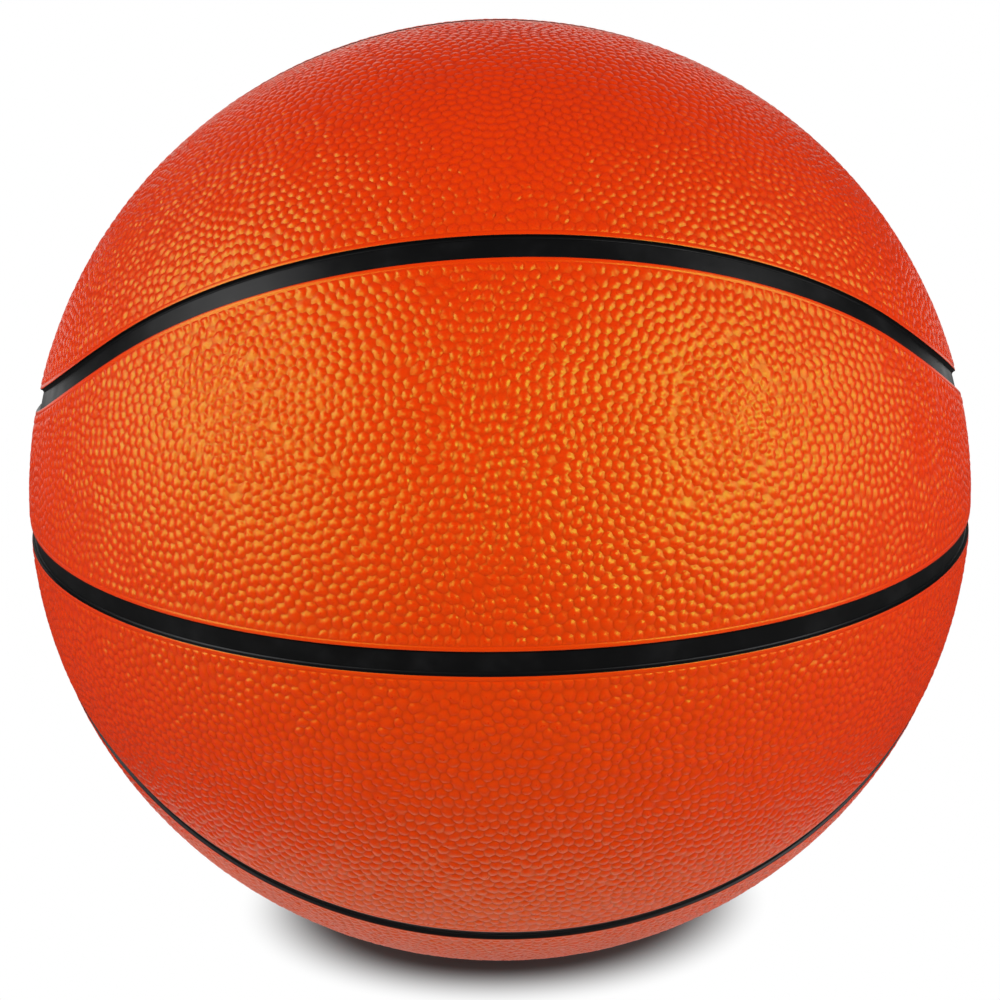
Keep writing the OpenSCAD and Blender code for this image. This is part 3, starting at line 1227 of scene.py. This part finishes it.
class MakeCapPanels(bpy.types.Operator):
    """Make the four pebbled cap panels inside the curved seams"""

    bl_idname = "basketball.cap_panels"
    bl_label = "Cap panels"

    def execute(self, context):
        make_panels(context, CAP_PANELS, cap_panel_edges(context.scene.ball_sizes))
        return {"FINISHED"}


class FinishChannels(bpy.types.Operator):
    """Give the strips in the channels their black rubber"""

    bl_idname = "basketball.channels"
    bl_label = "Channels"

    def execute(self, context):
        material = channel_rubber(context.scene.rubber_colours)
        for name in frame["nodes"]:
            if name.startswith("channel_"):
                give(name, material)
        return {"FINISHED"}


class FinishInnerPieces(bpy.types.Operator):
    """Give the valve, the bladder, the winding and the carcass their finishes"""

    bl_idname = "basketball.inner_pieces"
    bl_label = "Valve and inner layers"

    def execute(self, context):
        colours = context.scene.rubber_colours
        finishes = {
            "valve_housing": moulded_rubber("valve_rubber", colours, colours.valve, rough=0.45),
            "valve_plug": moulded_rubber("plug_rubber", colours, colours.plug, rough=0.4),
            "bladder": moulded_rubber("butyl_rubber", colours, colours.butyl, rough=0.6),
            "carcass": moulded_rubber("carcass_rubber", colours, colours.carcass, rough=0.7),
            "winding": thread_winding(colours),
        }
        for name, material in finishes.items():
            give(name, material)
        return {"FINISHED"}


def softbox(name, direction, distance, size, power):
    """An area lamp that faces the middle of the ball"""
    lamp = bpy.data.lights.new(name, "AREA")
    lamp.shape = "RECTANGLE"
    lamp.size, lamp.size_y = size
    lamp.energy = power
    holder = bpy.data.objects.new(name, lamp)
    towards = Vector(direction).normalized()
    holder.location = towards * distance
    holder.rotation_euler = towards.to_track_quat("Z", "Y").to_euler()
    bpy.context.scene.collection.objects.link(holder)


class MakeStudio(bpy.types.Operator):
    """Make the camera, the lamps, the pale floor and the room's light"""

    bl_idname = "basketball.studio"
    bl_label = "Studio"

    def execute(self, context):
        studio = context.scene.studio_settings
        self.camera(context, studio)
        self.lamps(studio)
        self.floor(studio)
        context.scene.world = room_light(studio)
        context.scene.view_settings.view_transform = "Standard"
        return {"FINISHED"}

    def camera(self, context, studio):
        """The camera at the photo's angle"""
        camera = bpy.data.cameras.new("photo_camera")
        camera.lens = studio.lens
        camera.shift_y = studio.shift
        camera.clip_start = CAMERA_NEAR
        holder = bpy.data.objects.new("photo_camera", camera)
        upright = Euler((math.pi / 2 - studio.elevation, 0.0, studio.azimuth)).to_matrix()
        turned = upright @ Matrix.Rotation(studio.roll, 3, "Z")
        holder.matrix_world = Matrix.Translation(turned.col[2] * studio.distance) @ turned.to_4x4()
        context.scene.collection.objects.link(holder)
        context.scene.camera = holder

    def lamps(self, studio):
        """The softboxes at the sides and the long lamp behind the ball"""
        for name, (direction, size, share) in LAMPS.items():
            softbox(name, direction, studio.lamp_distance, size, share * studio.lamp_power)
        softbox("rim_light", RIM_LIGHT, studio.rim_distance, RIM_SIZE, studio.rim_power)

    def floor(self, studio):
        """The round floor that the ball stands on"""
        bpy.ops.mesh.primitive_circle_add(
            vertices=FLOOR_SIDES, radius=FLOOR_R, fill_type="NGON", location=(0.0, 0.0, REST_POINT.z))
        floor = bpy.context.object
        floor.name = "studio_floor"
        floor.data.materials.append(pale_floor(studio))
        floor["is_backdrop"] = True


class BasketballPanel(bpy.types.Panel):
    """Lists the pieces of the ball and their settings"""

    bl_idname = "VIEW3D_PT_basketball"
    bl_label = "Basketball"
    bl_space_type = "VIEW_3D"
    bl_region_type = "UI"
    bl_category = "Basketball"

    def draw(self, context):
        for operator in OPERATORS:
            self.layout.operator(operator.bl_idname)
        for group in SETTINGS:
            box = self.layout.box()
            settings = getattr(context.scene, group)
            for name in settings.__annotations__:
                box.prop(settings, name)


SETTINGS = {
    "ball_sizes": BallSizes,
    "pebble_sizes": PebbleSizes,
    "rubber_colours": RubberColours,
    "studio_settings": StudioSettings,
}
OPERATORS = (MakeSidePanels, MakeCapPanels, FinishChannels, FinishInnerPieces, MakeStudio)


def register():
    for group in SETTINGS.values():
        bpy.utils.register_class(group)
    for name, group in SETTINGS.items():
        setattr(bpy.types.Scene, name, PointerProperty(type=group))
    for kind in (*OPERATORS, BasketballPanel):
        bpy.utils.register_class(kind)


def unregister():
    for kind in (BasketballPanel, *reversed(OPERATORS)):
        bpy.utils.unregister_class(kind)
    for name in SETTINGS:
        delattr(bpy.types.Scene, name)
    for group in SETTINGS.values():
        bpy.utils.unregister_class(group)


def main():
    register()
    bpy.ops.basketball.side_panels()
    bpy.ops.basketball.cap_panels()
    bpy.ops.basketball.channels()
    bpy.ops.basketball.inner_pieces()
    bpy.ops.basketball.studio()
    boxes = {"cad": cad_box, "visual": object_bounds()}
    {name: [list(corner) for corner in box] for name, box in boxes.items()}


if __name__ == "__main__":
    main()
